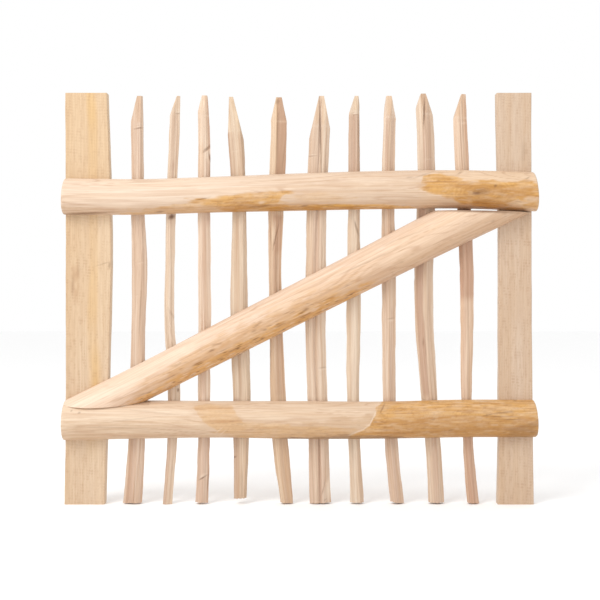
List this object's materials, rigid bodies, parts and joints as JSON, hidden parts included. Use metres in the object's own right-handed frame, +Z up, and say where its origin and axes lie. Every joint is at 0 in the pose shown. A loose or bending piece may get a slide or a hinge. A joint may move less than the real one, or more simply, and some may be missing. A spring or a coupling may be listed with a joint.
{
  "type": "picket garden gate leaf",
  "caption": "Rustic cleft-chestnut picket gate leaf: sawn stiles and hewn pointed pales fixed behind half-round rails and a diagonal half-round brace.",
  "frame": {"origin": "floor level, below the middle of the leaf's bounding box", "axes": "+Z up, +X along the leaf towards the latch side, +Y towards the back, where the stiles and pales are; the half-round poles face -Y"},
  "size_m": [1.0131, 0.0749, 0.881],
  "materials": {
    "chestnut_sawn": "band-sawn, unfinished",
    "chestnut_peeled": "peeled and shaved, unfinished",
    "chestnut_cleft": "cleft, unfinished",
    "galvanised_steel": "galvanised"
  },
  "bodies": {
    "root": {"stile_hinge": "chestnut_sawn", "stile_latch": "chestnut_sawn", "rail_top": "chestnut_peeled", "rail_bottom": "chestnut_peeled", "brace": "chestnut_peeled", "pale_01": "chestnut_cleft", "pale_02": "chestnut_cleft", "pale_03": "chestnut_cleft", "pale_04": "chestnut_cleft", "pale_05": "chestnut_cleft", "pale_06": "chestnut_cleft", "pale_07": "chestnut_cleft", "pale_08": "chestnut_cleft", "pale_09": "chestnut_cleft", "pale_10": "chestnut_cleft", "screws_rail_top": "galvanised_steel", "screws_rail_bottom": "galvanised_steel", "screws_brace": "galvanised_steel", "nails_rail_top": "galvanised_steel", "nails_rail_bottom": "galvanised_steel", "nails_brace": "galvanised_steel"}
  },
  "joints": []
}
